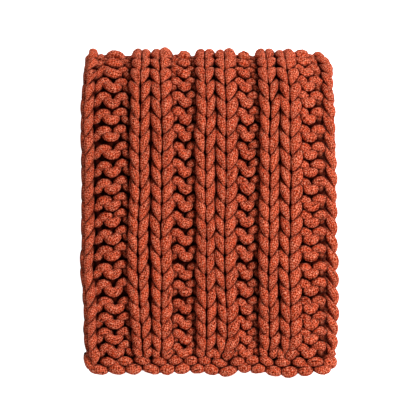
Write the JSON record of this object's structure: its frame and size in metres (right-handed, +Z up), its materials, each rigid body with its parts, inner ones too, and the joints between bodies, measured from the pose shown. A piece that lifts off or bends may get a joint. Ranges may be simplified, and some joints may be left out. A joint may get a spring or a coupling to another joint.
{
  "type": "folded chunky knit blanket",
  "caption": "Chunky rib-knit blanket in rust yarn, folded in three both ways into a thick flat stack.",
  "frame": {"origin": "centre of the folded blanket's footprint, on the surface it lies on", "axes": "+Z up, +Y along the ribs towards the large roll of the top pack, X across the ribs; the cast-on edge lies on top at -Y"},
  "size_m": [0.426, 0.5461, 0.312],
  "materials": {
    "rust_yarn": "matte soft tubular yarn, rib knit"
  },
  "bodies": {
    "root": {"knit_blanket": "rust_yarn"}
  },
  "joints": []
}
